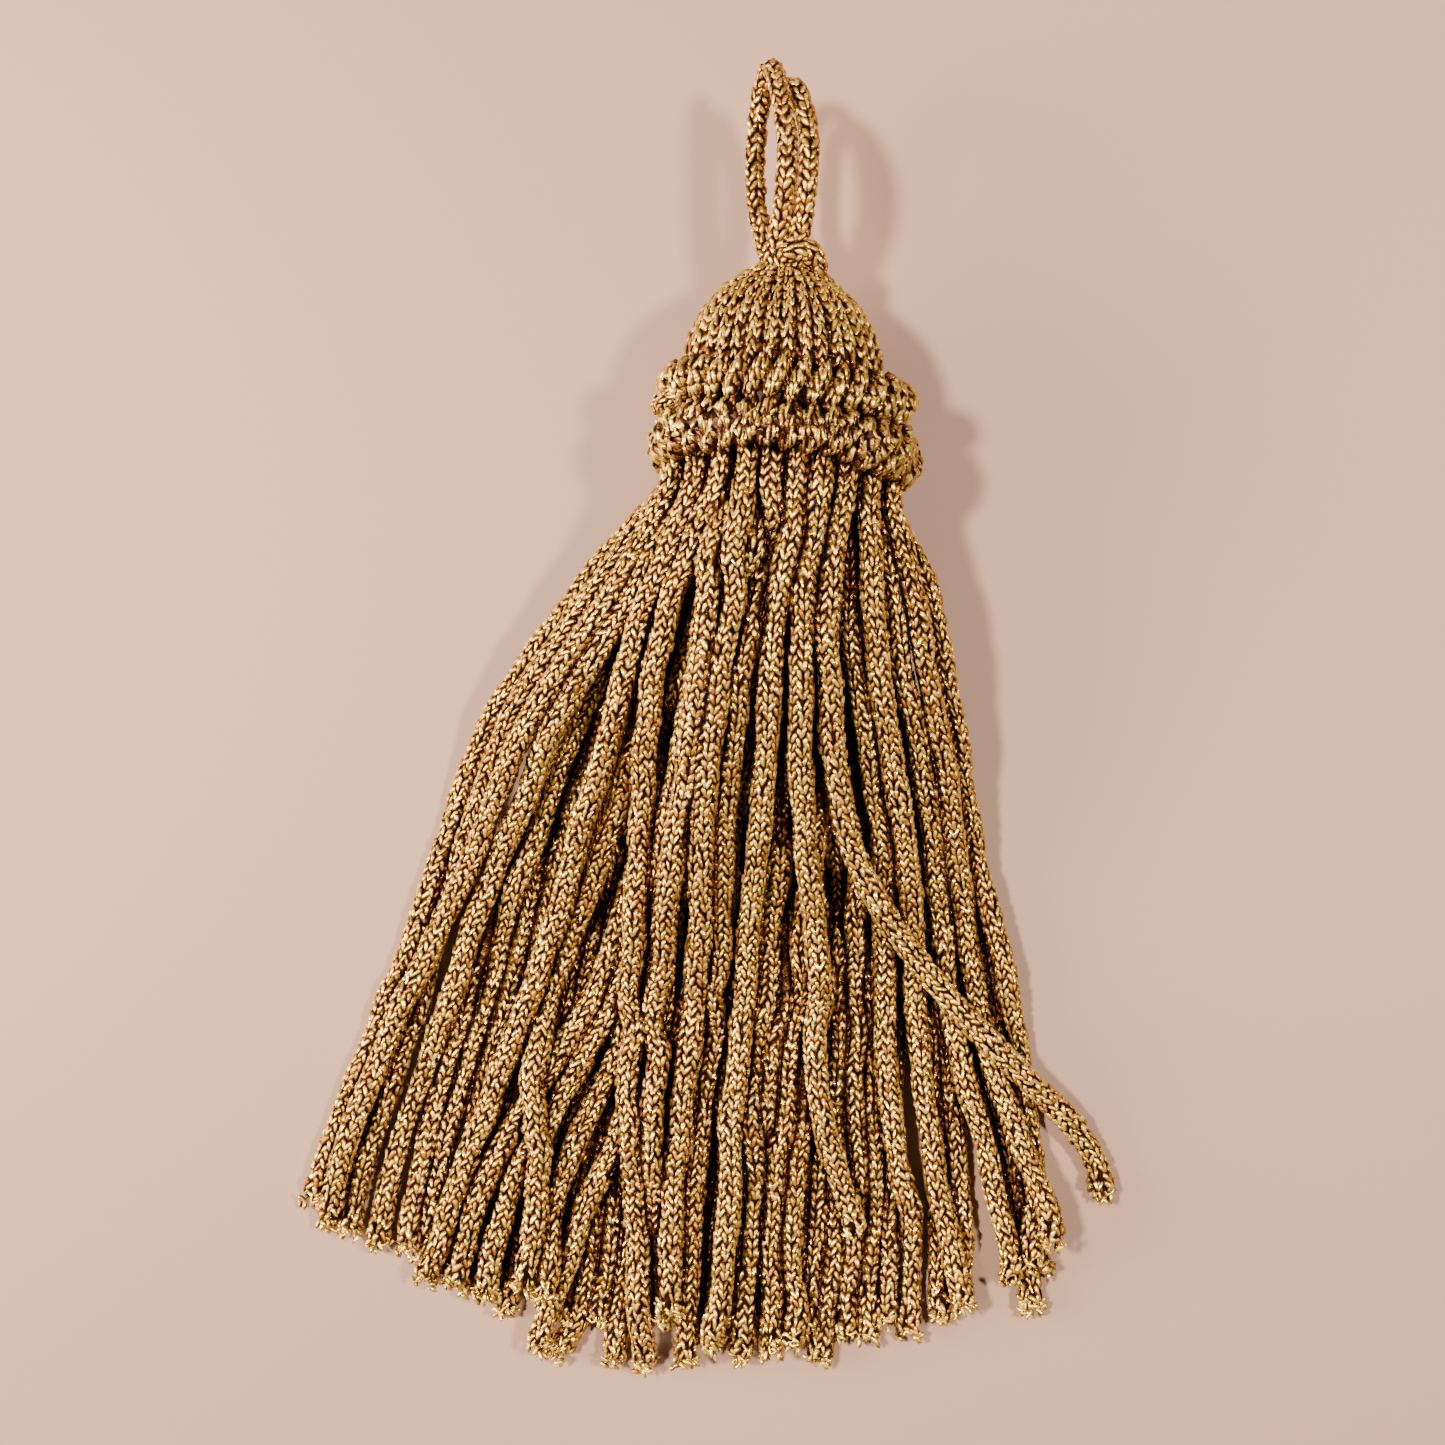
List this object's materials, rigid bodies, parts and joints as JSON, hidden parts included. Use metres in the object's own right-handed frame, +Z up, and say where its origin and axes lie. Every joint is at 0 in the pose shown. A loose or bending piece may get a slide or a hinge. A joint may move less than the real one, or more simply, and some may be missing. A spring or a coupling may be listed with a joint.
{
  "type": "corded tassel with hanging loop",
  "caption": "Gold corded tassel lying on a surface: domed head, collar of rolled cord, a fanned skirt of cut cords and a doubled hanging loop.",
  "frame": {"origin": "on the surface, under the lower roll of the collar", "axes": "+Z up from the surface, +Y along the tassel towards the hanging loop, the skirt towards -Y, +X across it"},
  "size_m": [0.0875, 0.1387, 0.0262],
  "materials": {
    "skirt_yarn": "gold metallic knitted cord",
    "roll_yarn": "gold metallic knitted cord, wound over the collar",
    "head_yarn": "gold metallic knitted cord, laid over the head",
    "loop_yarn": "gold metallic knitted cord"
  },
  "bodies": {
    "root": {"skirt": "skirt_yarn", "lower_roll": "roll_yarn", "upper_roll": "roll_yarn", "head": "head_yarn", "loop_left": "loop_yarn", "loop_right": "loop_yarn", "hitch": "loop_yarn"}
  },
  "joints": []
}
